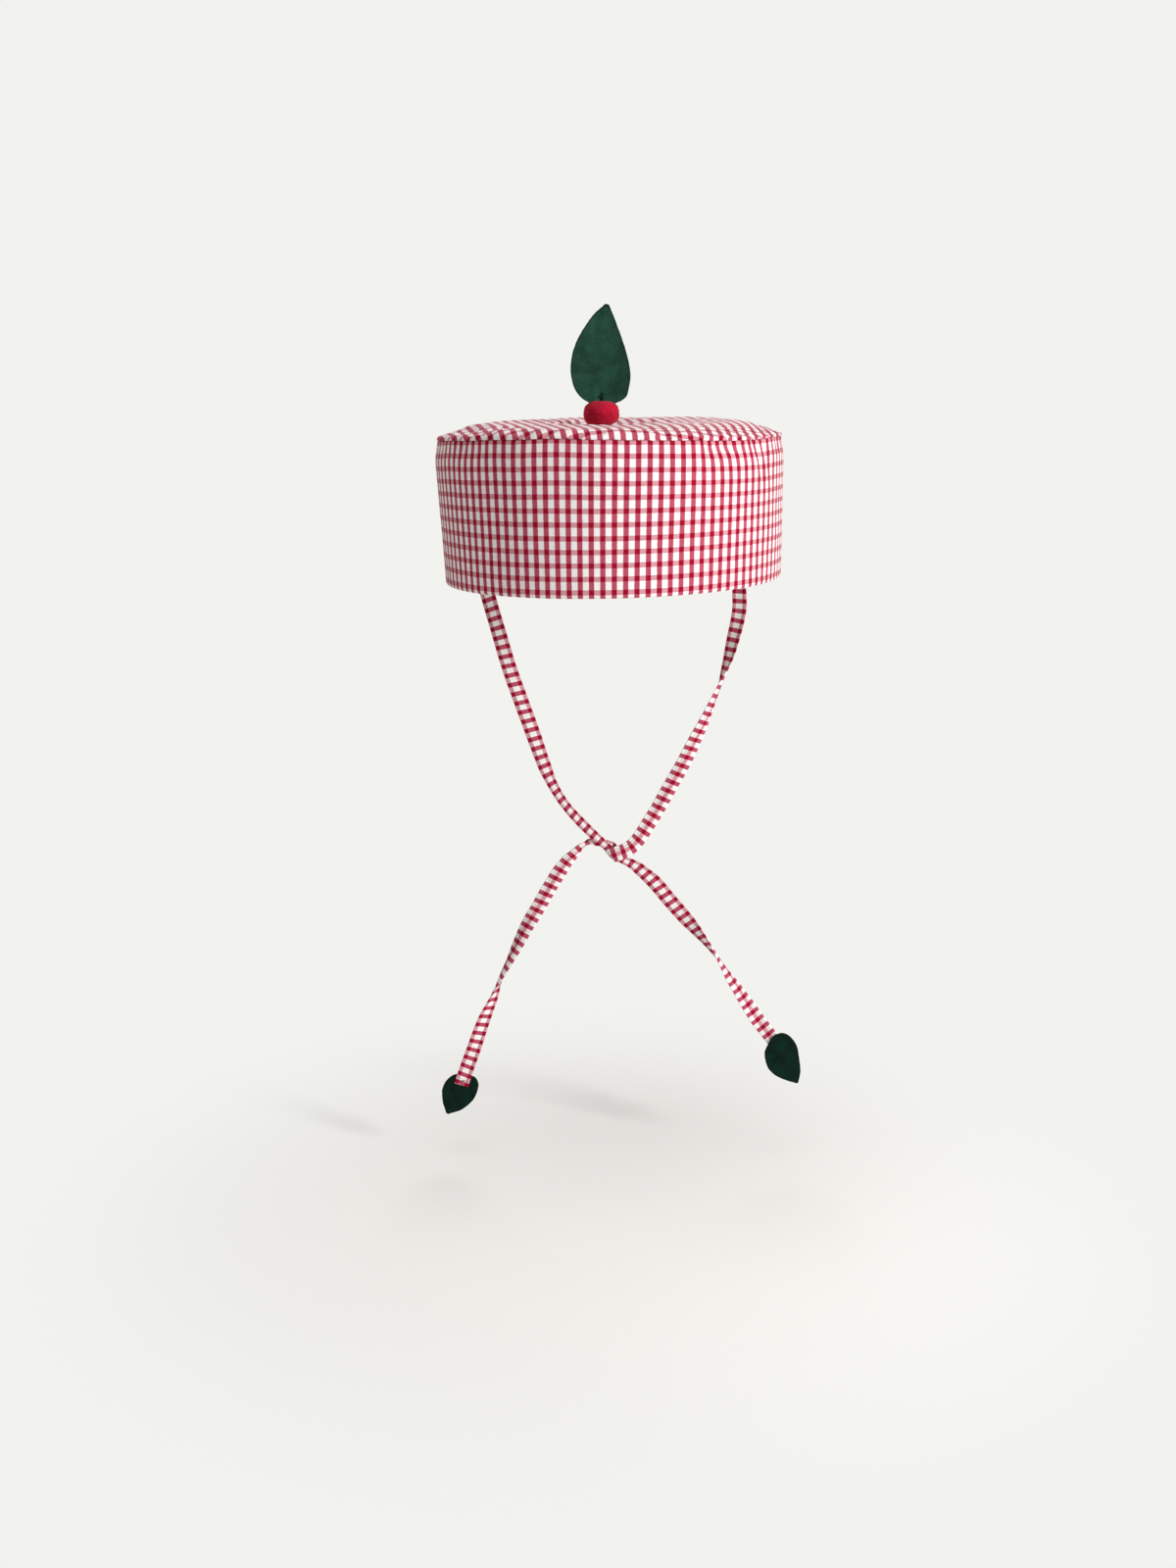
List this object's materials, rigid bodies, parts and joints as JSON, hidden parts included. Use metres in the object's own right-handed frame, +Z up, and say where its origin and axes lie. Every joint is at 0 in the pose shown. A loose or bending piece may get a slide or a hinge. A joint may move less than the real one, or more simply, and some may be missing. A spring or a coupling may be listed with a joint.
{
  "type": "pillbox hat",
  "caption": "Pillbox hat in red and white check cotton, with a felt ball and leaf on the crown and a knotted pair of fabric ties that end in felt leaves.",
  "frame": {"origin": "centre of the head opening, in the plane of the rim", "axes": "+Z up through the crown, along the axis of the band; -Y to the front of the hat, the ties hang from the rear half of the rim; +X to the wearer's left, which is on the right as seen from the front"},
  "size_m": [0.2201, 0.1888, 0.4841],
  "materials": {
    "check_cotton": "matte",
    "lining_cotton": "matte",
    "stiffener": "matte",
    "wadding": "matte",
    "red_felt": "matte",
    "green_felt": "matte",
    "dark_green_felt": "matte",
    "pale_thread": "satin",
    "red_thread": "satin",
    "green_thread": "satin"
  },
  "bodies": {
    "hat": {"side_band": "check_cotton", "band_stiffener": "stiffener", "band_lining": "lining_cotton", "crown_top": "check_cotton", "crown_wadding": "wadding", "crown_stiffener": "stiffener", "crown_lining": "lining_cotton", "crown_seam_stitches": "pale_thread", "rim_seam_stitches": "pale_thread", "felt_ball": "red_felt", "ball_thread": "red_thread", "tie_tack_left": "pale_thread", "tie_tack_right": "pale_thread"},
    "leaf": {"felt_leaf": "green_felt", "leaf_stitch": "green_thread"},
    "ties": {"tie_left": "check_cotton", "tie_right": "check_cotton", "tip_stitch_left": "green_thread"},
    "tip_left": {"tip_leaf_left": "dark_green_felt"},
    "tip_right": {"tip_leaf_right": "dark_green_felt", "tip_stitch_right": "green_thread"}
  },
  "joints": [
    {"name": "ties_swing", "type": "hinge", "parent": "hat", "child": "ties", "pos_m": [0, 0.0535, -0.0025], "axis": [1, 0, 0], "range_deg": [-80, 90]},
    {"name": "leaf_fold", "type": "hinge", "parent": "hat", "child": "leaf", "pos_m": [-0.005, 0.01045, 0.0829], "axis": [1, 0, 0], "range_deg": [-75, 0], "stiffness_Nm_per_rad": 0.003},
    {"name": "tip_left_flap", "type": "hinge", "parent": "ties", "child": "tip_left", "pos_m": [-0.0905, 0.055, -0.3124], "axis": [1, 0, 0], "range_deg": [0, 75]},
    {"name": "tip_right_flap", "type": "hinge", "parent": "ties", "child": "tip_right", "pos_m": [0.1025, 0.052, -0.2842], "axis": [1, 0, 0], "range_deg": [-75, 0]}
  ]
}
